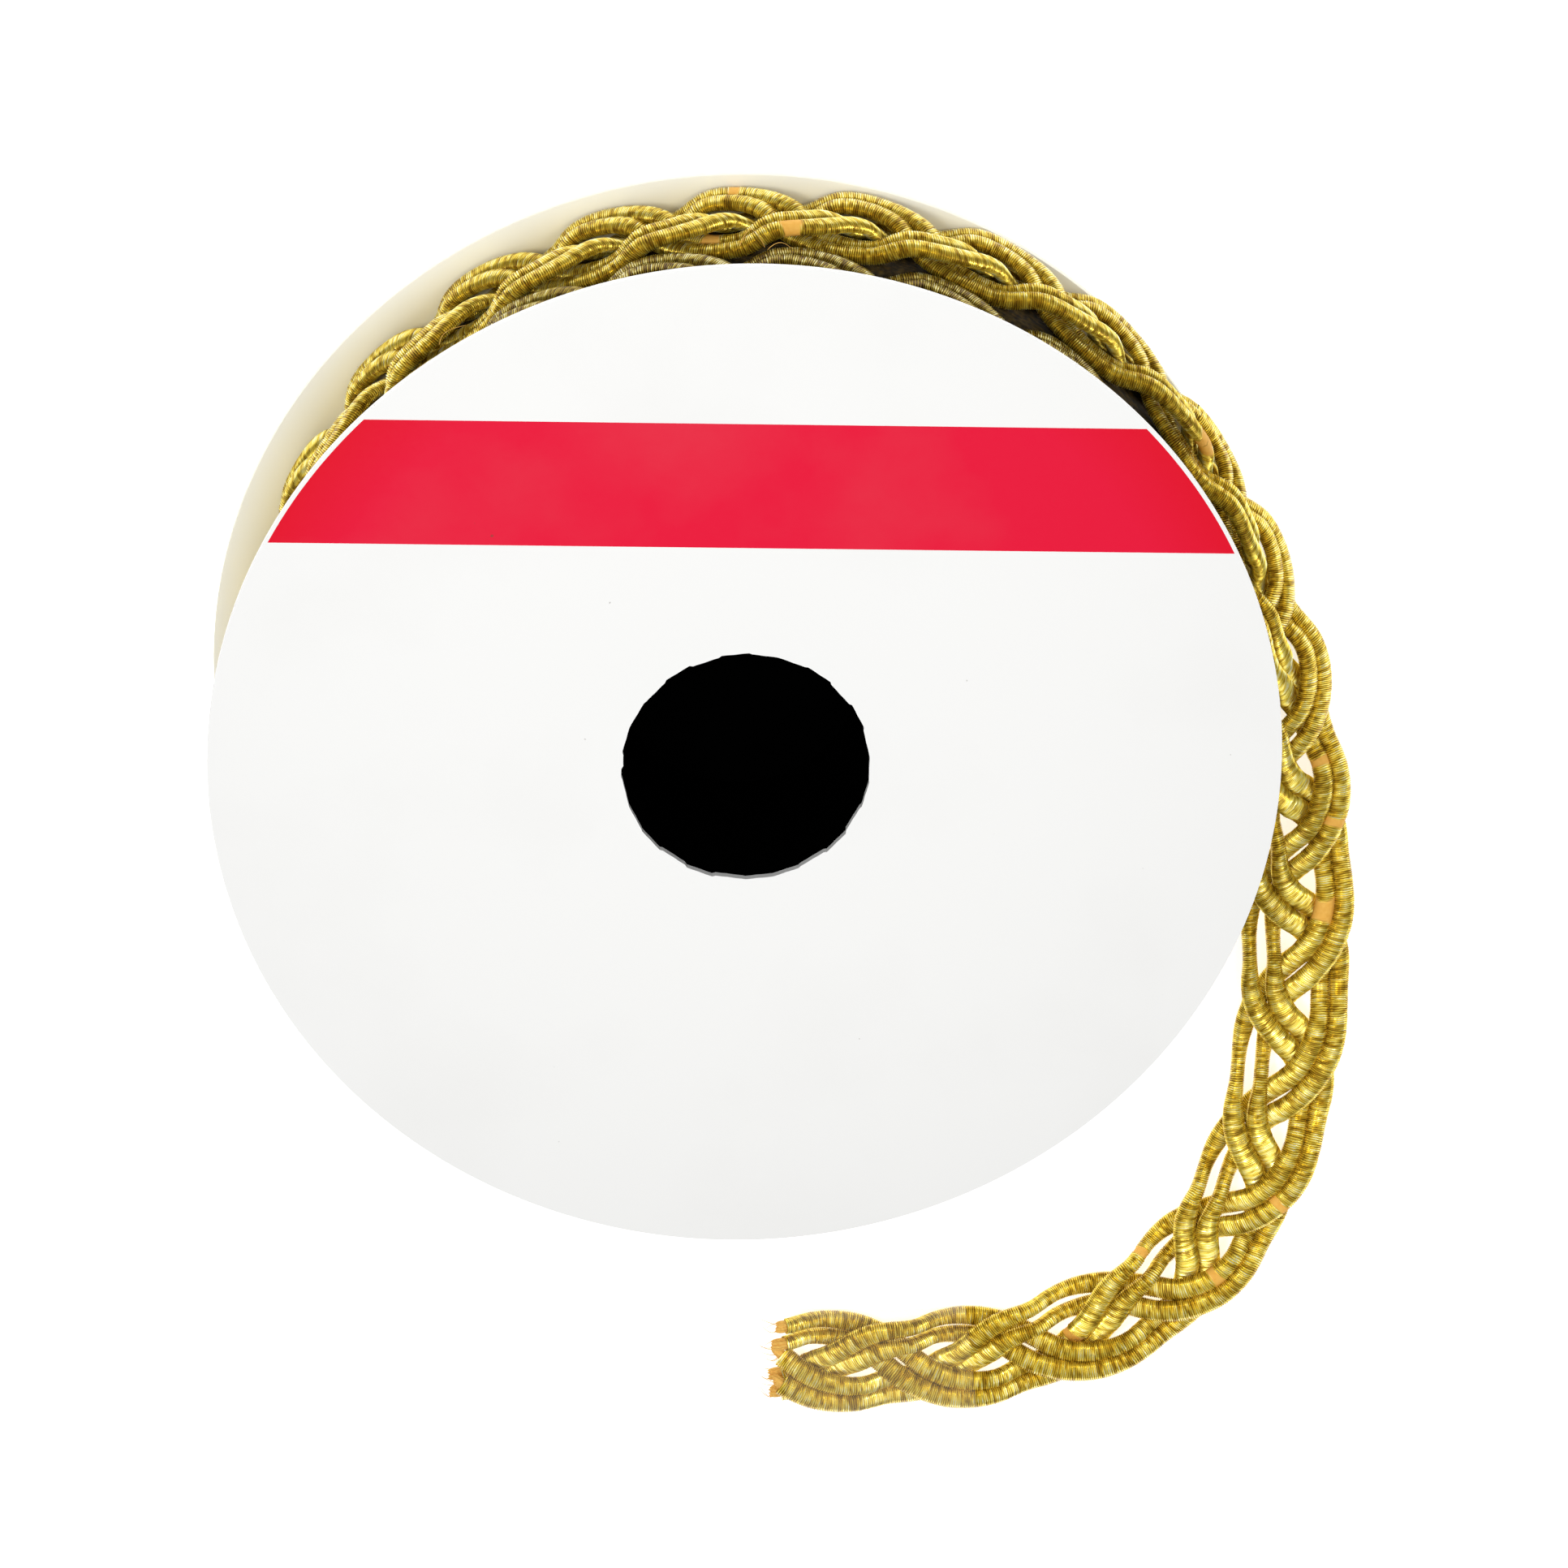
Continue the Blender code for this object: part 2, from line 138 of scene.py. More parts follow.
# Thread that wraps the cords
THREAD_PITCH = 0.22 * MM
THREAD_DEPTH = 0.10 * MM
THREAD_SIDES = 10
COARSE_PITCH = 0.33 * MM
COARSE_SIDES = 8
OUTER_TURN = 150.0 * MM
FRONT_TURN = (222.0 * MM, 330.0 * MM)

CORE_COLOR = (0.0005, 0.0005, 0.0005)

# Light of the room, straight above and at the horizon
ZENITH_LIGHT = 1.7
HORIZON_LIGHT = 0.1

# Patches where the thread has slipped off its cotton core: pair, side, distance from the exit
# along the cord, and half length, in mm
BARE_PATCHES = (
    (1, -1, 66.8, 1.35),
    (2, 1, 54.7, 0.55),
    (2, -1, 47.1, 0.45),
    (1, -1, 0.4, 1.9),
    (2, 1, 105.8, 0.5),
    (2, -1, 120.0, 0.45),
    (1, -1, 116.6, 0.5),
    (2, -1, 132.8, 0.6),
    (1, 1, -64.0, 0.9),
    (1, -1, -55.3, 1.0),
    (0, 1, -62.1, 0.5),
)


def make_camera():
    """The photograph's viewpoint."""
    normal = Vector((
        -math.sin(CAMERA_TILT) * math.sin(CAMERA_LEAN),
        math.sin(CAMERA_TILT) * math.cos(CAMERA_LEAN),
        -math.cos(CAMERA_TILT),
    ))
    level = Vector((math.cos(CAMERA_LEAN), math.sin(CAMERA_LEAN), 0.0))
    upright = normal.cross(level)
    label_x = math.cos(LABEL_TURN) * level - math.sin(LABEL_TURN) * upright
    label_y = math.sin(LABEL_TURN) * level + math.cos(LABEL_TURN) * upright
    right, down, forward = (Vector((label_x[i], label_y[i], normal[i])) for i in range(3))
    place = Vector((0.0, 0.0, SPOOL_HEIGHT))
    for axis, distance in zip((right, down, forward), FACE_FROM_CAMERA):
        place -= axis * distance
    axes = Matrix((right, -down, -forward)).transposed()
    data = bpy.data.cameras.new("camera")
    data.sensor_width = SENSOR
    data.lens = FOCAL_PIXELS / PHOTO_SIDE * SENSOR
    data.clip_start = 0.05
    data.clip_end = 20.0
    camera = bpy.data.objects.new("camera", data)
    camera.matrix_world = Matrix.Translation(place) @ axes.to_4x4()
    bpy.context.scene.collection.objects.link(camera)
    bpy.context.scene.camera = camera
    return camera


def smooth_curve(knots, steps):
    """Points of a Catmull-Rom curve through the knots, with its end tangents kept."""
    knots = np.array(knots, dtype=float)
    first = 2.0 * knots[0] - knots[1]
    last = 2.0 * knots[-1] - knots[-2]
    padded = np.vstack([first, knots, last])
    points = []
    for a, b, c, d in zip(padded, padded[1:], padded[2:], padded[3:]):
        for step in range(steps):
            u = step / steps
            linear = (c - a) * u
            square = (2.0 * a - 5.0 * b + 4.0 * c - d) * u ** 2
            cube = (3.0 * b - a - 3.0 * c + d) * u ** 3
            points.append(b + 0.5 * (linear + square + cube))
    points.append(knots[-1])
    return np.array(points)


def winding_knots():
    """Knots every 15 degrees or less along the winding's turns, so that the curve stays round."""
    dense = []
    rows = list(reversed(WINDING))
    for (angle_a, radius_a, height_a), (angle_b, radius_b, height_b) in zip(rows, rows[1:]):
        parts = max(1, round(abs(angle_a - angle_b) / 15.0))
        for part in range(parts):
            share = part / parts
            ease = share * share * (3.0 - 2.0 * share)
            turn = math.radians(angle_a + (angle_b - angle_a) * share)
            radius = radius_a + (radius_b - radius_a) * share
            height = height_a + (height_b - height_a) * ease
            dense.append((radius * math.cos(turn), radius * math.sin(turn), height, 0.0))
    angle, radius, height = rows[-1]
    turn = math.radians(angle)
    dense.append((radius * math.cos(turn), radius * math.sin(turn), height, 0.0))
    return dense


class Route:
    """The braid's centre line, read by the distance along it."""

    def __init__(self):
        wound = winding_knots()
        curve = smooth_curve(wound + list(LOOSE_END), ROUTE_STEPS)
        self.points = curve[:, :3]
        self.roll = np.radians(curve[:, 3])
        steps = np.linalg.norm(np.diff(self.points, axis=0), axis=1)
        self.distance = np.concatenate([[0.0], np.cumsum(steps)])
        self.length = self.distance[-1]
        self.exit = self.distance[(len(wound) - 1) * ROUTE_STEPS]

    def place(self, distance):
        """Points of the centre line."""
        columns = [np.interp(distance, self.distance, self.points[:, axis]) for axis in range(3)]
        return np.stack(columns, axis=-1)

    def frame(self, distance):
        """Centre, width axis and face axis of the braid at each distance."""
        reach = 0.8 * MM
        distance = np.clip(distance, 0.0, self.length)
        centre = self.place(distance)
        ahead = self.place(np.minimum(distance + reach, self.length))
        behind = self.place(np.maximum(distance - reach, 0.0))
        along = ahead - behind
        along /= np.linalg.norm(along, axis=-1, keepdims=True)
        outward = np.cross([0.0, 0.0, 1.0], along)
        outward /= np.linalg.norm(outward, axis=-1, keepdims=True)
        outward *= np.sign(np.sum(outward * centre * [1.0, 1.0, 0.0], axis=-1, keepdims=True))
        upright = np.cross(along, outward)
        upright *= np.sign(upright[..., 2:3])
        roll = np.interp(distance, self.distance, self.roll)[..., None]
        width = np.sin(roll) * outward - np.cos(roll) * upright
        face = np.cos(roll) * outward + np.sin(roll) * upright
        return centre, width, face


class Plait:
    """Three pairs of cords in a flat plait along a route."""

    def __init__(self, route):
        self.route = route
        self.swing = BRAID_HALF_WIDTH - CORD_RADIUS - PAIR_SPACING / 2.0
        first = route.exit - FIRST_NOTCH_BEFORE_EXIT
        before = math.ceil(first / EVEN_SCALLOP)
        lengths = [EVEN_SCALLOP] * before + [length * MM for length in SCALLOP_LENGTHS]
        lengths += [EVEN_SCALLOP] * 4
        self.stations = first - before * EVEN_SCALLOP + np.concatenate([[0.0], np.cumsum(lengths)])
        self.phases = FIRST_NOTCH - before + np.arange(len(lengths) + 1)

    def station(self, phase):
        """Distance along the route at a phase counted in scallops, with soft changes of pitch."""
        spread = np.linspace(-0.8, 0.8, 9)
        weight = np.cos(0.5 * math.pi * spread) ** 2
        total = sum(w * np.interp(phase + d, self.phases, self.stations)
                    for d, w in zip(spread, weight))
        return total / weight.sum()

    def phase(self, distance):
        """Phase at a distance along the route."""
        grid = np.linspace(self.phases[0] + 1.0, self.phases[-1] - 1.0, 4000)
        return np.interp(distance, self.station(grid), grid)

    def loosening(self, phase, column):
        """One of the named columns of the loosening table, at a phase."""
        rows = np.array(LOOSENING)
        return np.interp(phase, rows[:, 0], rows[:, LOOSENING_COLUMNS.index(column)])

    def line(self, pair, side, phases):
        """One cord (side -1 or 1): points, distances, the braid's face axis, and its flatness."""
        turn = 2.0 * math.pi * (phases + pair) / PAIRS
        swing = (np.sin(turn) + EDGE_DWELL * np.sin(3.0 * turn)) / (1.0 - EDGE_DWELL)
        slope = (np.cos(turn) + 3.0 * EDGE_DWELL * np.cos(3.0 * turn)) / (1.0 - EDGE_DWELL)
        pitch = PAIRS * (self.station(phases + 0.05) - self.station(phases - 0.05)) / 0.1
        slant = np.arctan(self.swing * slope * 2.0 * math.pi / pitch)
        opening = self.loosening(phases, "opening") * np.clip(-np.sin(turn), 0.0, 1.0) ** 2
        spacing = PAIR_SPACING + (OPEN_PAIR_SPACING - PAIR_SPACING) * opening
        spacing = spacing + (DIAGONAL_SPACING - PAIR_SPACING) * (1.0 - np.sin(turn) ** 4)
        across = self.swing * swing * self.loosening(phases, "width")
        across = across + side * spacing / 2.0 * np.cos(slant)
        lag = self.loosening(phases, "lag") * MM * (1.0 - np.sin(turn)) / 2.0
        along = self.station(phases) + lag - side * spacing / 2.0 * np.sin(slant)
        wave = np.sin(2.0 * (turn + CROSSING_SHIFT * side * np.cos(turn)))
        height = -WAVE_HEIGHT * np.tanh(WAVE_FLATNESS * wave) / math.tanh(WAVE_FLATNESS)
        centre, width, face = self.route.frame(along)
        points = centre + across[..., None] * width + height[..., None] * face
        edge = np.where(np.sin(turn) > 0.0, RIGHT_WIDTH, LEFT_WIDTH)
        flat = edge + (DIAGONAL_WIDTH - edge) * (1.0 - np.sin(turn) ** 4)
        return points, along, face, flat


def smooth_noise(random, count, spacing):
    """Even noise from -1 to 1 with its knots the given number of samples apart."""
    knots = random.uniform(-1.0, 1.0, int(count / spacing) + 3)
    return np.interp(np.arange(count) / spacing, np.arange(len(knots)), knots)


def wrapped_cord(plait, pair, side, start, end, pitch, sides, random):
    """Verts, faces and per-vertex looks of one cord between two distances along the braid."""
    wide = np.linspace(plait.phase(start) - 1.5, plait.phase(end) + 1.5, 4000)
    along = plait.line(pair, side, wide)[1]
    first, last = np.interp([start, end], along, wide)
    phases = np.linspace(first, last, int((last - first) * 60) + 2)
    line, along, face, flat = plait.line(pair, side, phases)
    steps = np.linalg.norm(np.diff(line, axis=0), axis=1)
    length = np.concatenate([[0.0], np.cumsum(steps)])
    count = int((length[-1] - pitch) / pitch * sides)
    index = np.arange(count)
    turns = int(count / sides) + 2
    angle = 2.0 * math.pi * index / sides

    tilt_a = smooth_noise(random, count, 5 * sides) + 0.5 * smooth_noise(random, count, 1.5 * sides)
    tilt_b = smooth_noise(random, count, 5 * sides) + 0.5 * smooth_noise(random, count, 1.5 * sides)
    lean = 0.16 * pitch * 2.0 * (tilt_a * np.cos(angle) + tilt_b * np.sin(angle))
    lump = 0.02 * MM * smooth_noise(random, count, 9 * sides)
    stray = 0.018 * MM * smooth_noise(random, count, 0.9 * sides)
    # Random brightness along the thread, in dashes and streaks: painted glints.
    blocks = random.uniform(0.0, 1.0, (turns // 2 + 1, sides))
    block = blocks[index // sides // 2, index % sides]
    glint_streak = smooth_noise(random, count, 0.8 * sides) * 0.5 + 0.5
    tone_glints_and_shade = 0.4 * random.uniform(0.0, 1.0, count) + 0.4 * block + 0.2 * glint_streak
    tone_glints_and_shade = np.clip(0.5 + 2.7 * (tone_glints_and_shade - 0.47), 0.0, 1.0)
    # Painted shade: each cord is darker at its sides, where it meets its neighbours.
    side_shade = 0.42 + 0.58 * np.abs(np.cos(angle)) ** 0.8
    patches = [row for row in BARE_PATCHES if row[0] == pair and row[1] == side]
    if end < plait.route.exit:
        patches = []
    anchor = np.interp(plait.route.exit, along, length, left=0.0, right=length[-1])

    def ring(offset, radius):
        at = np.clip(pitch * index / sides + offset + lean, 0.0, length[-1])
        middle = np.stack([np.interp(at, length, line[:, k]) for k in range(3)], axis=-1)
        ahead = np.stack([np.interp(at + 0.2 * MM, length, line[:, k]) for k in range(3)], axis=-1)
        behind = np.stack([np.interp(at - 0.2 * MM, length, line[:, k]) for k in range(3)], axis=-1)
        tangent = ahead - behind
        tangent /= np.linalg.norm(tangent, axis=1, keepdims=True)
        up = np.stack([np.interp(at, length, face[:, k]) for k in range(3)], axis=-1)
        up -= tangent * np.sum(up * tangent, axis=1, keepdims=True)
        up /= np.linalg.norm(up, axis=1, keepdims=True)
        out = np.cross(tangent, up)
        bare = np.zeros(count)
        for _, _, middle_mm, half_mm in patches:
            ragged = 1.0 + 0.18 * np.sin(2.0 * angle + middle_mm) + 0.1 * tilt_b
            share = np.abs(at - anchor - middle_mm * MM) / (half_mm * MM * ragged)
            bare = np.maximum(bare, np.clip((1.0 - share) * 6.0, 0.0, 1.0))
        core = CORD_RADIUS - 0.09 * MM
        reach = radius + (core - radius) * bare
        reach = reach[:, None]
        wide = np.interp(at, length, flat)
        spoke = (np.cos(angle) / wide ** 0.6)[:, None] * up + (np.sin(angle) * wide)[:, None] * out
        return middle + spoke * reach, bare

    crest, crest_bare = ring(0.0, CORD_RADIUS + lump + stray)
    groove, groove_bare = ring(pitch / 2.0, CORD_RADIUS - THREAD_DEPTH + lump)
    verts = np.concatenate([crest, groove])
    near = np.arange(count - 1)
    far = np.arange(count - 1 - sides)
    flank = np.stack([near, near + 1, count + near + 1, count + near], axis=1)
    back = np.stack([count + far, count + far + 1, far + 1 + sides, far + sides], axis=1)
    faces = np.concatenate([flank, back])
    # Crests carry the painted glints and grooves painted shade, all darkened by the painted side
    # shade.
    looks = {
        "tone_glints_and_shade": np.concatenate([(0.26 + 0.74 * tone_glints_and_shade) * side_shade, 0.42 * tone_glints_and_shade * glint_streak * side_shade]),
        "bare": np.concatenate([crest_bare, groove_bare]),
    }
    return verts, faces, looks


def mesh_piece(name, parts, material):
    """One mesh object from several (verts, faces, looks)."""
    verts = np.concatenate([part[0] for part in parts])
    starts = np.cumsum([0] + [len(part[0]) for part in parts])
    faces = np.concatenate([part[1] + start for part, start in zip(parts, starts)])
    mesh = bpy.data.meshes.new(name)
    mesh.vertices.add(len(verts))
    mesh.vertices.foreach_set("co", verts.astype(np.float32).ravel())
    mesh.loops.add(faces.size)
    mesh.loops.foreach_set("vertex_index", faces.astype(np.int32).ravel())
    mesh.polygons.add(len(faces))
    mesh.polygons.foreach_set("loop_start", np.arange(0, faces.size, 4, dtype=np.int32))
    mesh.update(calc_edges=True)
    mesh.validate()
    for key in parts[0][2]:
        layer = mesh.attributes.new(key, "FLOAT", "POINT")
        values = np.concatenate([part[2][key] for part in parts]).astype(np.float32)
        layer.data.foreach_set("value", values)
    mesh.polygons.foreach_set("use_smooth", np.full(len(mesh.polygons), True))
    ends = np.zeros(2 * len(mesh.edges), dtype=np.int32)
    mesh.edges.foreach_get("vertices", ends)
    along_thread = np.abs(np.diff(ends.reshape(-1, 2), axis=1)).ravel() == 1
    sharp = mesh.attributes.new("sharp_edge", "BOOLEAN", "EDGE")
    sharp.data.foreach_set("value", along_thread)
    item = bpy.data.objects.new(name, mesh)
    mesh.materials.append(material)
    bpy.context.scene.collection.objects.link(item)
    return item


def new_material(name):
    """A material with its shader and tree at hand."""
    material = bpy.data.materials.new(name)
    material.use_nodes = True
    tree = material.node_tree
    return material, tree, tree.nodes["Principled BSDF"]


def gold_material(name, shade):
    """Metallic thread over a cotton core: painted highlights on the crests, painted shade in the brown
    grooves, bare orange patches.
    """
    material, tree, shader = new_material(name)
    nodes, links = tree.nodes, tree.links
    tone_glints_and_shade = nodes.new("ShaderNodeAttribute")
    tone_glints_and_shade.attribute_name = "tone_glints_and_shade"
    bare = nodes.new("ShaderNodeAttribute")
    bare.attribute_name = "bare"
    ramp = nodes.new("ShaderNodeValToRGB")
    stops = ramp.color_ramp.elements
    # The ramp runs from painted shade, dark brown, to painted highlight, near white; shade darkens its
    # lower stops for the shaded copies.
    stops[0].position = 0.0
    stops[0].color = (0.15 * shade, 0.065 * shade, 0.003 * shade, 1.0)
    stops[1].position = 0.97
    stops[1].color = (1.0, 1.0, 0.95, 1.0)
    for place, color in (
        (0.2, (0.56, 0.36, 0.025)),
        (0.45, (1.0, 0.77, 0.08)),
        (0.68, (1.0, 0.92, 0.27)),
        (0.84, (1.0, 1.0, 0.66)),
    ):
        stop = stops.new(place)
        share = shade + (1.0 - shade) * place ** 2
        stop.color = (share * color[0], share ** 1.1 * color[1], share ** 1.4 * color[2], 1.0)
    links.new(tone_glints_and_shade.outputs["Fac"], ramp.inputs["Fac"])
    mix = nodes.new("ShaderNodeMix")
    mix.data_type = "RGBA"
    place = nodes.new("ShaderNodeTexCoord")
    cotton = nodes.new("ShaderNodeTexNoise")
    cotton.inputs["Scale"].default_value = 1800.0
    links.new(place.outputs["Object"], cotton.inputs["Vector"])
    fluff = nodes.new("ShaderNodeMix")
    fluff.data_type = "RGBA"
    fluff.inputs["A"].default_value = (0.82, 0.38, 0.04, 1.0)
    fluff.inputs["B"].default_value = (0.98, 0.58, 0.12, 1.0)
    links.new(cotton.outputs["Fac"], fluff.inputs["Factor"])
    links.new(fluff.outputs["Result"], mix.inputs["B"])
    links.new(bare.outputs["Fac"], mix.inputs["Factor"])
    links.new(ramp.outputs["Color"], mix.inputs["A"])
    links.new(mix.outputs["Result"], shader.inputs["Base Color"])
    metal = nodes.new("ShaderNodeMath")
    metal.operation = "MULTIPLY_ADD"
    metal.inputs[1].default_value = -0.6
    metal.inputs[2].default_value = 0.6
    links.new(bare.outputs["Fac"], metal.inputs[0])
    links.new(metal.outputs["Value"], shader.inputs["Metallic"])
    rough = nodes.new("ShaderNodeMath")
    rough.operation = "MULTIPLY_ADD"
    rough.inputs[1].default_value = 0.5
    rough.inputs[2].default_value = 0.28
    links.new(bare.outputs["Fac"], rough.inputs[0])
    links.new(rough.outputs["Value"], shader.inputs["Roughness"])
    return material


def wear_group():
    """Node group: faint smudges, a few dark specks, and paper grain for roughness and bump."""
    group = bpy.data.node_groups.new("paper_wear", "ShaderNodeTree")
    group.interface.new_socket("Color", in_out="INPUT", socket_type="NodeSocketColor")
    group.interface.new_socket("Color", in_out="OUTPUT", socket_type="NodeSocketColor")
    group.interface.new_socket("Roughness", in_out="OUTPUT", socket_type="NodeSocketFloat")
    group.interface.new_socket("Normal", in_out="OUTPUT", socket_type="NodeSocketVector")
    nodes, links = group.nodes, group.links
    start = nodes.new("NodeGroupInput")
    end = nodes.new("NodeGroupOutput")
    place = nodes.new("ShaderNodeTexCoord")

    def noise(scale, detail, low, high):
        texture = nodes.new("ShaderNodeTexNoise")
        texture.inputs["Scale"].default_value = scale
        texture.inputs["Detail"].default_value = detail
        links.new(place.outputs["Object"], texture.inputs["Vector"])
        span = nodes.new("ShaderNodeMapRange")
        span.inputs["From Min"].default_value = low
        span.inputs["From Max"].default_value = high
        links.new(texture.outputs["Fac"], span.inputs["Value"])
        return span

    smudge = noise(45.0, 5.0, 0.5, 0.8)
    smudge.inputs["To Max"].default_value = 0.06
    speck = noise(900.0, 2.0, 0.80, 0.84)
    speck.inputs["To Max"].default_value = 0.55
    color = start.outputs["Color"]
    for mask, tint in ((smudge, (0.45, 0.42, 0.38, 1.0)), (speck, (0.12, 0.07, 0.04, 1.0))):
        blend = nodes.new("ShaderNodeMix")
        blend.data_type = "RGBA"
        blend.inputs["B"].default_value = tint
        links.new(mask.outputs["Result"], blend.inputs["Factor"])
        links.new(color, blend.inputs["A"])
        color = blend.outputs["Result"]
    links.new(color, end.inputs["Color"])
    grain = noise(2500.0, 3.0, 0.3, 0.7)
    grain.inputs["To Min"].default_value = 0.38
    grain.inputs["To Max"].default_value = 0.55
    links.new(grain.outputs["Result"], end.inputs["Roughness"])
    bump = nodes.new("ShaderNodeBump")
    bump.inputs["Strength"].default_value = 0.15
    bump.inputs["Distance"].default_value = 0.05 * MM
    links.new(grain.outputs["Result"], bump.inputs["Height"])
    links.new(bump.outputs["Normal"], end.inputs["Normal"])
    return group


def wear(tree, color, shader):
    """Puts the paper wear between a colour and its shader; returns the worn colour."""
    node = tree.nodes.new("ShaderNodeGroup")
    node.node_tree = bpy.data.node_groups.get("paper_wear") or wear_group()
    tree.links.new(color, node.inputs["Color"])
    tree.links.new(node.outputs["Roughness"], shader.inputs["Roughness"])
    tree.links.new(node.outputs["Normal"], shader.inputs["Normal"])
    return node.outputs["Color"]


def board_material():
    """Ivory board, yellower towards its middle."""
    material, tree, shader = new_material("ivory_board_look")
    nodes, links = tree.nodes, tree.links
    place = nodes.new("ShaderNodeTexCoord")
    flat = nodes.new("ShaderNodeVectorMath")
    flat.operation = "MULTIPLY"
    flat.inputs[1].default_value = (1.0, 1.0, 0.0)
    links.new(place.outputs["Object"], flat.inputs[0])
    radius = nodes.new("ShaderNodeVectorMath")
    radius.operation = "LENGTH"
    links.new(flat.outputs["Vector"], radius.inputs[0])
    span = nodes.new("ShaderNodeMapRange")
    span.inputs["From Min"].default_value = 50.5 * MM
    span.inputs["From Max"].default_value = DISC_RADIUS
    links.new(radius.outputs["Value"], span.inputs["Value"])
    mix = nodes.new("ShaderNodeMix")
    mix.data_type = "RGBA"
    mix.inputs["A"].default_value = (0.94, 0.85, 0.56, 1.0)
    mix.inputs["B"].default_value = (1.0, 0.98, 0.86, 1.0)
    links.new(span.outputs["Result"], mix.inputs["Factor"])
    links.new(wear(tree, mix.outputs["Result"], shader), shader.inputs["Base Color"])
    return material


def card_material():
    """White card with a plain red band across it."""
    material, tree, shader = new_material("printed_card")
    nodes, links = tree.nodes, tree.links
    place = nodes.new("ShaderNodeTexCoord")
    parts = nodes.new("ShaderNodeSeparateXYZ")
    links.new(place.outputs["Object"], parts.inputs["Vector"])
    low = nodes.new("ShaderNodeMath")
    low.operation = "GREATER_THAN"
    low.inputs[1].default_value = BAND_LOW
    links.new(parts.outputs["Y"], low.inputs[0])
    high = nodes.new("ShaderNodeMath")
    high.operation = "LESS_THAN"
    high.inputs[1].default_value = BAND_HIGH
    links.new(parts.outputs["Y"], high.inputs[0])
    top = nodes.new("ShaderNodeMath")
    top.operation = "GREATER_THAN"
    top.inputs[1].default_value = SPOOL_HEIGHT - 0.05 * MM
    links.new(parts.outputs["Z"], top.inputs[0])
    flat = nodes.new("ShaderNodeVectorMath")
    flat.operation = "MULTIPLY"
    flat.inputs[1].default_value = (1.0, 1.0, 0.0)
    links.new(place.outputs["Object"], flat.inputs[0])
    radius = nodes.new("ShaderNodeVectorMath")
    radius.operation = "LENGTH"
    links.new(flat.outputs["Vector"], radius.inputs[0])
    inside = nodes.new("ShaderNodeMath")
    inside.operation = "LESS_THAN"
    inside.inputs[1].default_value = DISC_RADIUS - 0.35 * MM
    links.new(radius.outputs["Value"], inside.inputs[0])
    printed = nodes.new("ShaderNodeMath")
    printed.operation = "MULTIPLY"
    links.new(inside.outputs["Value"], printed.inputs[0])
    links.new(top.outputs["Value"], printed.inputs[1])
    both = nodes.new("ShaderNodeMath")
    both.operation = "MULTIPLY"
    links.new(low.outputs["Value"], both.inputs[0])
    links.new(high.outputs["Value"], both.inputs[1])
    band = nodes.new("ShaderNodeMath")
    band.operation = "MULTIPLY"
    links.new(both.outputs["Value"], band.inputs[0])
    links.new(printed.outputs["Value"], band.inputs[1])
    mix = nodes.new("ShaderNodeMix")
    mix.data_type = "RGBA"
    mix.inputs["A"].default_value = (0.93, 0.93, 0.915, 1.0)
    red = nodes.new("ShaderNodeMapRange")
    red.inputs["From Min"].default_value = 0.86 * DISC_RADIUS
    red.inputs["From Max"].default_value = DISC_RADIUS
    links.new(radius.outputs["Value"], red.inputs["Value"])
    ink = nodes.new("ShaderNodeMix")
    ink.data_type = "RGBA"
    ink.inputs["A"].default_value = (0.81, 0.006, 0.042, 1.0)
    ink.inputs["B"].default_value = (0.77, 0.003, 0.022, 1.0)
    links.new(red.outputs["Result"], ink.inputs["Factor"])
    links.new(ink.outputs["Result"], mix.inputs["B"])
    links.new(band.outputs["Value"], mix.inputs["Factor"])
    worn = wear(tree, mix.outputs["Result"], shader)
    links.new(worn, shader.inputs["Base Color"])
    shader.inputs["Specular IOR Level"].default_value = 0.1
    return material


def plain_material(name, color, roughness, metallic=0.0, specular=0.5):
    """A Principled material of one colour with faint mottling."""
    material, tree, shader = new_material(name)
    nodes, links = tree.nodes, tree.links
    place = nodes.new("ShaderNodeTexCoord")
    noise = nodes.new("ShaderNodeTexNoise")
    noise.inputs["Scale"].default_value = 180.0
    noise.inputs["Detail"].default_value = 6.0
    links.new(place.outputs["Object"], noise.inputs["Vector"])
    mix = nodes.new("ShaderNodeMix")
    mix.data_type = "RGBA"
    mix.inputs["A"].default_value = (*color, 1.0)
    mix.inputs["B"].default_value = (*(0.9 * part for part in color), 1.0)
    links.new(noise.outputs["Fac"], mix.inputs["Factor"])
    links.new(mix.outputs["Result"], shader.inputs["Base Color"])
    shader.inputs["Roughness"].default_value = roughness
    shader.inputs["Metallic"].default_value = metallic
    shader.inputs["Specular IOR Level"].default_value = specular
    return material


def shade_material():
    """The turns deep in the winding, in a dark brown gold that is painted shade, ribbed like the
    cords.
    """
    material, tree, shader = new_material("deep_winding")
    nodes, links = tree.nodes, tree.links
    place = nodes.new("ShaderNodeTexCoord")
    noise = nodes.new("ShaderNodeTexNoise")
    noise.inputs["Scale"].default_value = 1500.0
    noise.inputs["Detail"].default_value = 4.0
    links.new(place.outputs["Object"], noise.inputs["Vector"])
    ramp = nodes.new("ShaderNodeValToRGB")
    stops = ramp.color_ramp.elements
    stops[0].position = 0.35
    stops[0].color = (0.012, 0.007, 0.002, 1.0)
    stops[1].position = 0.75
    stops[1].color = (0.16, 0.10, 0.012, 1.0)
    links.new(noise.outputs["Fac"], ramp.inputs["Fac"])
    links.new(ramp.outputs["Color"], shader.inputs["Base Color"])
    shader.inputs["Roughness"].default_value = 0.7
    bump = nodes.new("ShaderNodeBump")
    bump.inputs["Strength"].default_value = 0.6
    bump.inputs["Distance"].default_value = 0.2 * MM
    links.new(noise.outputs["Fac"], bump.inputs["Height"])
    links.new(bump.outputs["Normal"], shader.inputs["Normal"])
    return material


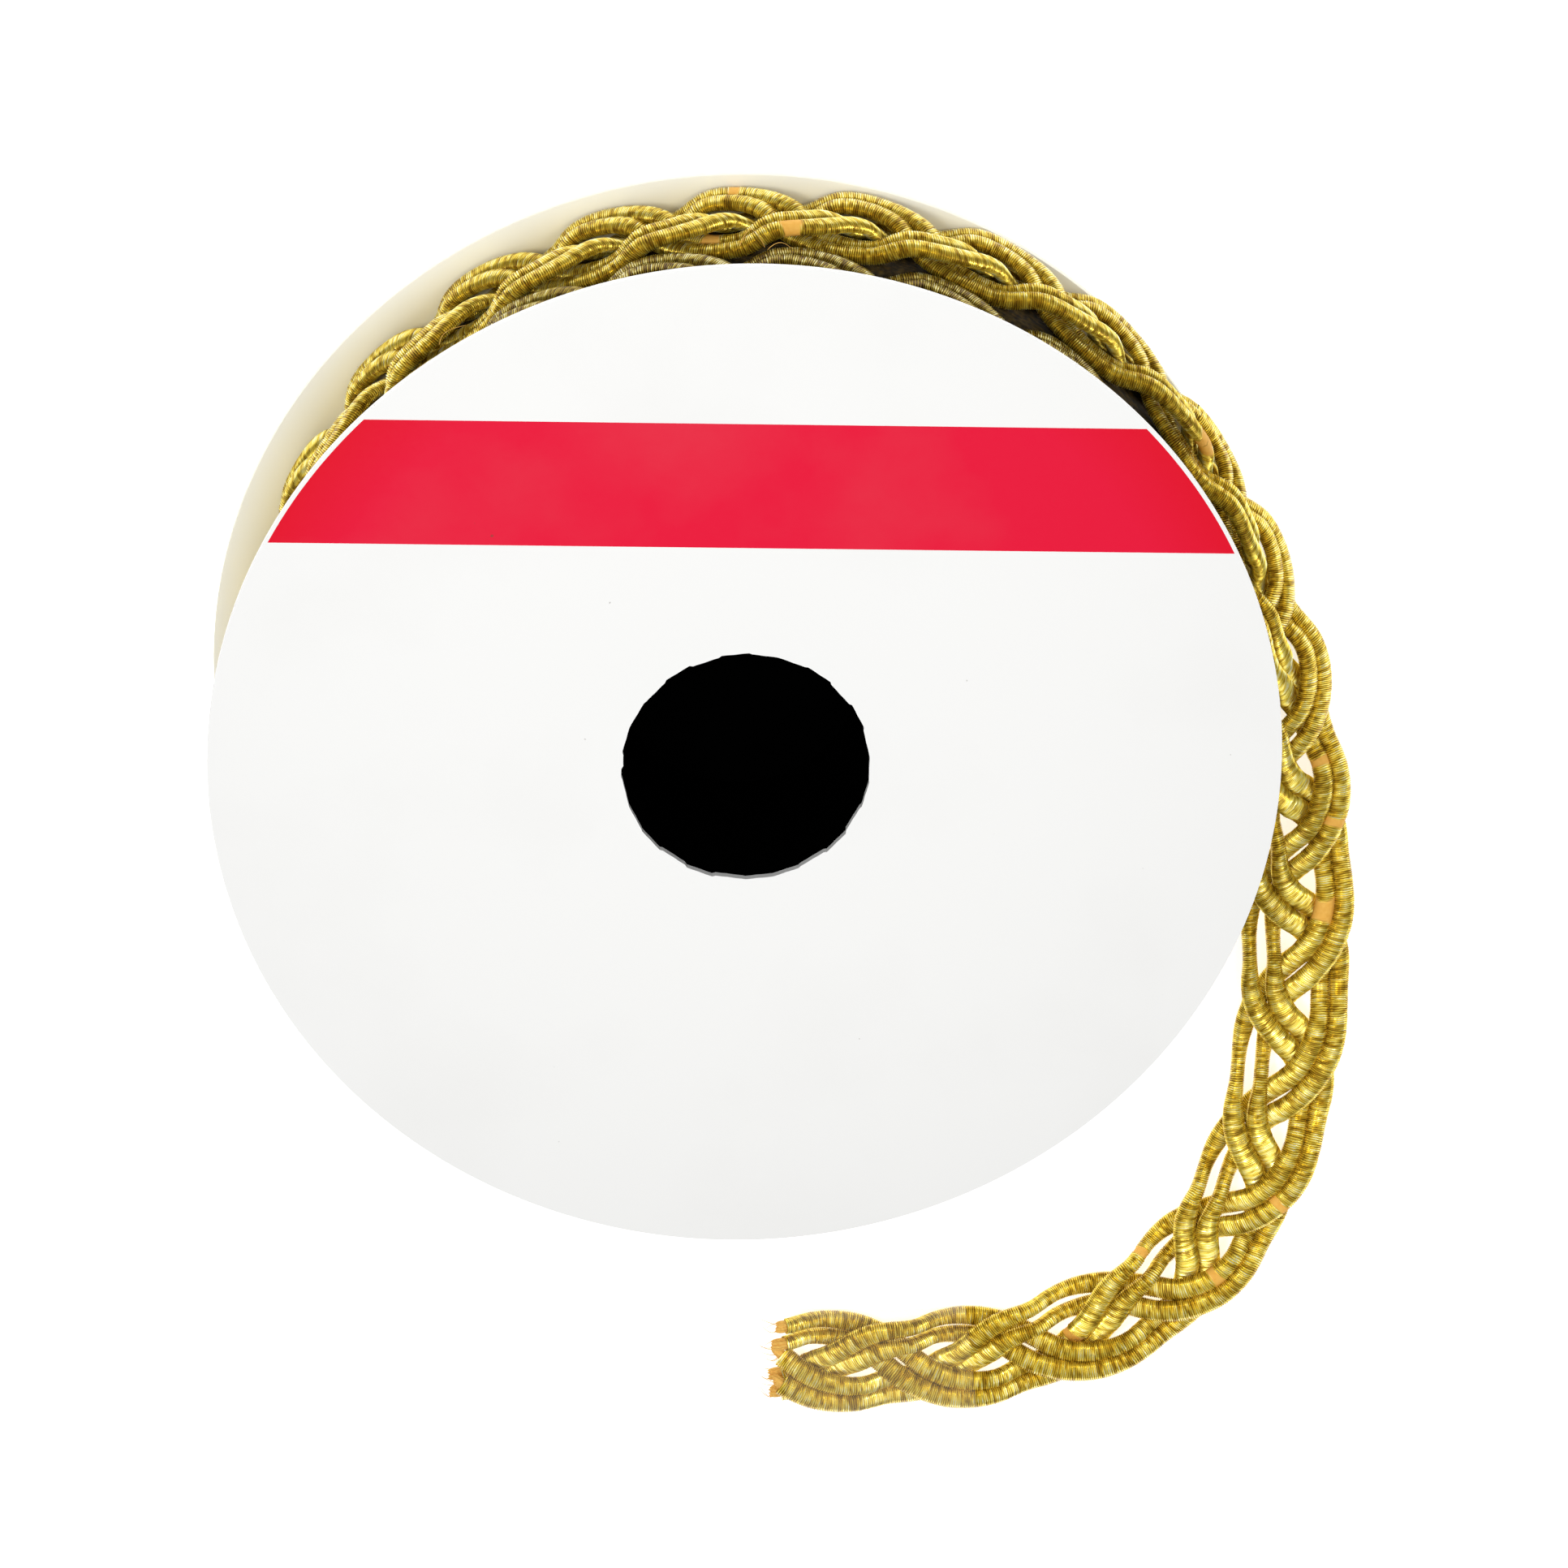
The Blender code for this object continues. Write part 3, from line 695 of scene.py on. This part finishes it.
def tape_material():
    """Clear film, milky and yellowish where it is seen edge on, with fine wrinkles."""
    material, tree, shader = new_material("clear_film")
    nodes, links = tree.nodes, tree.links
    facing = nodes.new("ShaderNodeLayerWeight")
    facing.inputs["Blend"].default_value = 0.35
    alpha = nodes.new("ShaderNodeMapRange")
    alpha.inputs["To Min"].default_value = 0.03
    alpha.inputs["To Max"].default_value = 0.3
    links.new(facing.outputs["Facing"], alpha.inputs["Value"])
    links.new(alpha.outputs["Result"], shader.inputs["Alpha"])
    place = nodes.new("ShaderNodeTexCoord")
    wrinkle = nodes.new("ShaderNodeTexNoise")
    wrinkle.inputs["Scale"].default_value = 260.0
    links.new(place.outputs["Object"], wrinkle.inputs["Vector"])
    bump = nodes.new("ShaderNodeBump")
    bump.inputs["Strength"].default_value = 0.5
    bump.inputs["Distance"].default_value = 0.3 * MM
    links.new(wrinkle.outputs["Fac"], bump.inputs["Height"])
    links.new(bump.outputs["Normal"], shader.inputs["Normal"])
    shader.inputs["Base Color"].default_value = (0.97, 0.92, 0.74, 1.0)
    shader.inputs["Roughness"].default_value = 0.1
    return material


def cotton_material():
    """Orange cotton of the cords' cores."""
    material, tree, shader = new_material("orange_cotton")
    nodes, links = tree.nodes, tree.links
    place = nodes.new("ShaderNodeTexCoord")
    fibre = nodes.new("ShaderNodeTexNoise")
    fibre.inputs["Scale"].default_value = 3000.0
    links.new(place.outputs["Object"], fibre.inputs["Vector"])
    mix = nodes.new("ShaderNodeMix")
    mix.data_type = "RGBA"
    mix.inputs["A"].default_value = (0.62, 0.26, 0.03, 1.0)
    mix.inputs["B"].default_value = (1.0, 0.66, 0.16, 1.0)
    links.new(fibre.outputs["Fac"], mix.inputs["Factor"])
    links.new(mix.outputs["Result"], shader.inputs["Base Color"])
    bump = nodes.new("ShaderNodeBump")
    bump.inputs["Distance"].default_value = 0.1 * MM
    links.new(fibre.outputs["Fac"], bump.inputs["Height"])
    links.new(bump.outputs["Normal"], shader.inputs["Normal"])
    shader.inputs["Roughness"].default_value = 0.9
    return material


def tube(points, radii, sides):
    """Verts and faces of a tube along points, its ends drawn together."""
    points = np.array(points)
    along = np.gradient(points, axis=0)
    along /= np.linalg.norm(along, axis=1, keepdims=True)
    side = np.cross(along, [0.0, 0.6, 0.8])
    side /= np.linalg.norm(side, axis=1, keepdims=True)
    over = np.cross(side, along)
    turn = 2.0 * math.pi * np.arange(sides) / sides
    ring = np.cos(turn)[None, :, None] * side[:, None] + np.sin(turn)[None, :, None] * over[:, None]
    verts = (points[:, None] + np.asarray(radii)[:, None, None] * ring).reshape(-1, 3)
    row = np.arange(len(points) - 1)[:, None] * sides
    near = np.arange(sides)[None, :]
    far = (near + 1) % sides
    faces = np.stack([row + near, row + far, row + sides + far, row + sides + near], axis=-1)
    return verts, faces.reshape(-1, 4)[:, ::-1], {}


def make_cotton(route, plait):
    """The frayed cotton cores that show past the cut, with a few loose fibres."""
    random = np.random.default_rng(5)
    parts = []
    end = route.exit + LOOSE_LENGTH
    for pair in range(PAIRS):
        for side in (-1, 1):
            phases = plait.phase(end) + np.linspace(-0.4, 0.4, 200)
            points, along, _, _ = plait.line(pair, side, phases)
            tip = 0.9 + 0.5 * random.uniform()
            for strand in range(9):
                reach = end + np.linspace(-1.0, tip - 0.25 * random.uniform(), 8) * MM
                line = np.stack([np.interp(reach, along, points[:, k]) for k in range(3)], axis=-1)
                turn = 2.0 * math.pi * strand / 8.0
                out = 0.42 * MM if strand < 8 else 0.0
                line[:, 1] += out * math.cos(turn) * np.linspace(1.0, 1.15, 8)
                line[:, 2] += out * math.sin(turn) * np.linspace(1.0, 0.9, 8)
                radii = 0.25 * MM * np.array([1.0, 1.0, 1.0, 1.0, 1.05, 1.0, 0.8, 0.05])
                parts.append(tube(line, radii, 8))
            for _ in range(3):
                start = np.array([np.interp(end, along, points[:, k]) for k in range(3)])
                bend = random.uniform(-1.0, 1.0, 2)
                share = np.linspace(0.0, 1.0, 10)
                fibre = start + np.stack([
                    -share * (1.6 + bend[0]) * MM,
                    (0.6 * np.sin(4.0 * share * bend[1]) + 0.4 * bend[0] * share) * MM,
                    0.5 * MM * np.sin(3.0 * share),
                ], axis=-1)
                parts.append(tube(fibre, np.linspace(0.05, 0.02, 10) * MM, 5))
    cotton = mesh_piece("cotton_ends", parts, cotton_material())
    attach(cotton, "root")
    return cotton


def make_hairs():
    """Stray fibres on the winding's outer turn."""
    parts = []
    for angle, lift, bow in ((86.0, 1.7, 1.2), (89.0, 2.2, -0.9), (124.0, 1.4, 1.0)):
        share = np.linspace(0.0, 1.0, 14)
        turn = math.radians(angle) + 0.05 * share
        radius = (51.2 + lift * np.sin(math.pi * 0.8 * share)) * MM
        height = (14.0 + 3.0 * share + bow * np.sin(3.0 * share)) * MM
        line = np.stack([radius * np.cos(turn), radius * np.sin(turn), height], axis=-1)
        parts.append(tube(line, np.full(14, 0.035 * MM), 5))
    hairs = mesh_piece("stray_fibres", parts, cotton_material())
    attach(hairs, "root")


def disc_by_hand(name, radius, low, high, edge):
    """A round board: a cylinder with its rim bevelled."""
    bpy.ops.object.select_all(action="DESELECT")
    bpy.ops.mesh.primitive_cylinder_add(
        vertices=256, radius=radius, depth=high - low, location=(0.0, 0.0, (low + high) / 2.0))
    disc = bpy.context.object
    disc.name = name
    disc.data.name = name
    bpy.ops.object.transform_apply(location=True, rotation=True, scale=True)
    bpy.ops.object.mode_set(mode="EDIT")
    bpy.ops.mesh.select_all(action="DESELECT")
    bpy.ops.mesh.edges_select_sharp(sharpness=math.radians(60.0))
    bpy.ops.mesh.bevel(offset=edge, segments=2)
    bpy.ops.object.mode_set(mode="OBJECT")
    return disc


def cut_hole(disc, radius):
    """Insets the disc's two faces to the hole and joins them by its wall, punched a little crudely."""
    bpy.ops.object.mode_set(mode="EDIT")
    bpy.ops.mesh.select_all(action="DESELECT")
    bpy.ops.mesh.select_mode(type="FACE")
    bpy.ops.mesh.select_face_by_sides(number=4, type="GREATER")
    bpy.ops.mesh.inset(thickness=DISC_RADIUS - radius - RIM_BEVEL, use_individual=True)
    bpy.ops.mesh.delete(type="FACE")
    bpy.ops.mesh.select_mode(type="EDGE")
    bpy.ops.mesh.select_non_manifold()
    bpy.ops.mesh.bridge_edge_loops()
    bpy.ops.object.mode_set(mode="OBJECT")
    for vertex in disc.data.vertices:
        reach = math.hypot(vertex.co.x, vertex.co.y)
        if reach < 2.0 * radius:
            turn = math.atan2(vertex.co.y, vertex.co.x) * HOLE_FACETS / (2.0 * math.pi)
            corner = abs(turn - round(turn)) * 2.0
            uneven = math.sin(3.7 * round(turn)) - (1.0 - corner)
            size = (radius + HOLE_UNEVENNESS * uneven) / reach
            vertex.co.x *= size
            vertex.co.y *= size


def make_discs():
    """The two discs, finer than their solids."""
    under = SPOOL_HEIGHT - FRONT_THICKNESS
    front = disc_by_hand("front_card", DISC_RADIUS, under, SPOOL_HEIGHT, RIM_BEVEL)
    cut_hole(front, HOLE_RADIUS)
    back = disc_by_hand("back_board", DISC_RADIUS, 0.0, BACK_THICKNESS, RIM_BEVEL)
    for disc, node, slot, material in (
        (front, "front_disc", "white_card", card_material()),
        (back, "back_disc", "ivory_board", board_material()),
    ):
        bpy.ops.object.select_all(action="DESELECT")
        bpy.context.view_layer.objects.active = disc
        disc.select_set(True)
        bpy.ops.object.shade_smooth_by_angle(angle=math.radians(30.0))
        disc.data.materials.clear()
        disc.data.materials.append(material)
        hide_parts(node)
        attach(disc, "root")
    return front, back


def make_tape(route):
    """The clear film around the cut end."""
    mesh = bmesh.new()
    finish = route.exit + LOOSE_LENGTH - 0.5 * MM
    stations = np.linspace(finish - FILM_LENGTH, finish, 24)
    centres, widths, faces = route.frame(stations)
    sides = 32
    rings = []
    for centre, width, face in zip(centres, widths, faces):
        ring = []
        for k in range(sides):
            turn = 2.0 * math.pi * k / sides
            x = FILM_HALF_WIDTH * math.copysign(abs(math.cos(turn)) ** 0.5, math.cos(turn))
            z = FILM_HALF_HEIGHT * math.copysign(abs(math.sin(turn)) ** 0.6, math.sin(turn))
            ring.append(mesh.verts.new(centre + x * width + z * face))
        rings.append(ring)
    for ring, following in zip(rings, rings[1:]):
        for k in range(sides):
            after = (k + 1) % sides
            mesh.faces.new((ring[k], ring[after], following[after], following[k]))
    bmesh.ops.recalc_face_normals(mesh, faces=mesh.faces)
    data = bpy.data.meshes.new("film")
    mesh.to_mesh(data)
    mesh.free()
    data.materials.append(tape_material())
    item = bpy.data.objects.new("film", data)
    bpy.context.scene.collection.objects.link(item)
    for polygon in data.polygons:
        polygon.use_smooth = True
    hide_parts("end_tape")
    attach(item, "root")
    return item


def make_cords(route, plait):
    """The braid: its loose end, its outer turn and the turns under it."""
    # One gold thread in lit and shaded copies: the outer turn a little darker and the turns below much
    # darker, as painted shade.
    gold = gold_material("gold_thread", 1.0)
    gold_light_shade = gold_material("wound_gold_thread_shaded", 0.8)
    gold_deep_shade = gold_material("shaded_gold_thread", 0.2)
    random = np.random.default_rng(11)
    ways = [(pair, side) for pair in range(PAIRS) for side in (-1, 1)]
    end = route.exit + LOOSE_LENGTH
    loose = mesh_piece("loose_braid", [
        wrapped_cord(plait, pair, side, route.exit, end, THREAD_PITCH, THREAD_SIDES, random)
        for pair, side in ways
    ], gold)
    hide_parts(*(f"loose_cord_{k}" for k in range(1, 7)))
    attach(loose, "root")
    path = route.place(np.linspace(route.exit, end, 160))
    middle = route.exit - OUTER_TURN
    joint = route.exit + 0.3 * MM
    outer = mesh_piece("outer_turn", [
        wrapped_cord(plait, pair, side, middle, joint, THREAD_PITCH, THREAD_SIDES, random)
        for pair, side in ways
    ], gold_light_shade)
    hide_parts("wound_braid")
    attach(outer, "root")
    for name, low, high, pitch, sides in (
        ("turns_below", 2.0 * MM, FRONT_TURN[0], COARSE_PITCH, COARSE_SIDES),
        ("front_turn", *FRONT_TURN, THREAD_PITCH, THREAD_SIDES),
        ("side_turns", FRONT_TURN[1], middle, COARSE_PITCH, COARSE_SIDES),
    ):
        inner = mesh_piece(name, [
            wrapped_cord(plait, pair, side, low, high, pitch, sides, random)
            for pair, side in ways
        ], gold_deep_shade)
        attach(inner, "root")
    return loose


def make_winding_mass(route):
    """The older turns under the modelled ones, closed in between the discs."""
    low = BACK_THICKNESS
    high = SPOOL_HEIGHT - FRONT_THICKNESS
    columns = 180
    heights = np.linspace(low, high, 40)
    samples = route.place(np.arange(0.0, route.exit, 0.5 * MM))
    sample_angle = np.arctan2(samples[:, 1], samples[:, 0])
    sample_radius = np.hypot(samples[:, 0], samples[:, 1])
    rings = []
    for k in range(columns):
        angle = 2.0 * math.pi * k / columns
        gap = np.abs((sample_angle - angle + math.pi) % (2.0 * math.pi) - math.pi)
        near = gap < 1.2 * math.pi / columns
        reach = np.abs(heights[:, None] - samples[near, 2])
        under = np.where(reach < 5.3 * MM, sample_radius[near] - 2.3 * MM, 0.0)
        radius = np.maximum(under.max(axis=1), 44.0 * MM)
        rings.append([(r * math.cos(angle), r * math.sin(angle), z) for r, z in zip(radius, heights)])
    rows = len(heights)
    verts = np.array(rings).reshape(-1, 3)
    column = np.arange(columns)[:, None]
    row = np.arange(rows - 1)[None, :]
    after = (column + 1) % columns
    faces = np.stack([
        column * rows + row, after * rows + row, after * rows + row + 1, column * rows + row + 1,
    ], axis=-1).reshape(-1, 4)
    tone_glints_and_shade = np.full(len(verts), 0.16)
    # Its dark colour, from the deep winding material, is painted shade between the turns.
    mass = mesh_piece("winding_mass", [(verts, faces, {"tone_glints_and_shade": tone_glints_and_shade, "bare": 0.0 * tone_glints_and_shade})],
                      shade_material())
    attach(mass, "root")
    return mass


def make_stage():
    """A plain pale floor, which glows a little: painted light that keeps it evenly white under the
    spool.
    """
    bpy.ops.mesh.primitive_plane_add(size=6.0, location=(0.0, 0.0, 0.0))
    floor = bpy.context.object
    floor.name = "floor"
    material, tree, shader = new_material("floor_white")
    shader.inputs["Base Color"].default_value = (1.0, 1.0, 1.0, 1.0)
    shader.inputs["Roughness"].default_value = 0.9
    # Painted light: the floor's glow fills the shadows on it and lights the cords from below.
    shader.inputs["Emission Color"].default_value = (1.0, 1.0, 1.0, 1.0)
    shader.inputs["Emission Strength"].default_value = 0.65
    floor.data.materials.append(material)


def make_light(name, place, size, power):
    """A square soft box that faces the spool."""
    data = bpy.data.lights.new(name, "AREA")
    data.size = size
    data.energy = power
    lamp = bpy.data.objects.new(name, data)
    lamp.location = place
    lamp.rotation_euler = (-Vector(place)).to_track_quat("-Z", "Y").to_euler()
    bpy.context.scene.collection.objects.link(lamp)
    return lamp


def make_lighting():
    """Pale studio light: a soft key from the top left, a fill, and a bright room."""
    world = bpy.data.worlds.new("room")
    bpy.context.scene.world = world
    world.use_nodes = True
    nodes, links = world.node_tree.nodes, world.node_tree.links
    nodes["Background"].inputs["Color"].default_value = (1.0, 1.0, 1.0, 1.0)
    place = nodes.new("ShaderNodeTexCoord")
    parts = nodes.new("ShaderNodeSeparateXYZ")
    links.new(place.outputs["Generated"], parts.inputs["Vector"])
    power = nodes.new("ShaderNodeMath")
    power.operation = "POWER"
    power.use_clamp = True
    power.inputs[1].default_value = 4.0
    links.new(parts.outputs["Z"], power.inputs[0])
    strength = nodes.new("ShaderNodeMath")
    strength.operation = "MULTIPLY_ADD"
    strength.inputs[1].default_value = ZENITH_LIGHT
    strength.inputs[2].default_value = HORIZON_LIGHT
    links.new(power.outputs["Value"], strength.inputs[0])
    links.new(strength.outputs["Value"], nodes["Background"].inputs["Strength"])
    bpy.context.scene.view_settings.view_transform = "Standard"
    make_light("key", (-0.3, 0.3, 0.85), 0.16, 2.4)
    make_light("fill", (0.35, 0.35, 0.8), 0.16, 1.0)


make_camera()
braid_route = Route()
braid_plait = Plait(braid_route)
film = make_tape(braid_route)
cotton_ends = make_cotton(braid_route, braid_plait)
make_cords(braid_route, braid_plait)
make_winding_mass(braid_route)
make_hairs()
make_discs()
make_stage()
make_lighting()
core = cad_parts["core"]
core.data.materials.clear()
core.data.materials.append(plain_material("core_black", CORE_COLOR, 0.9, specular=0.0))
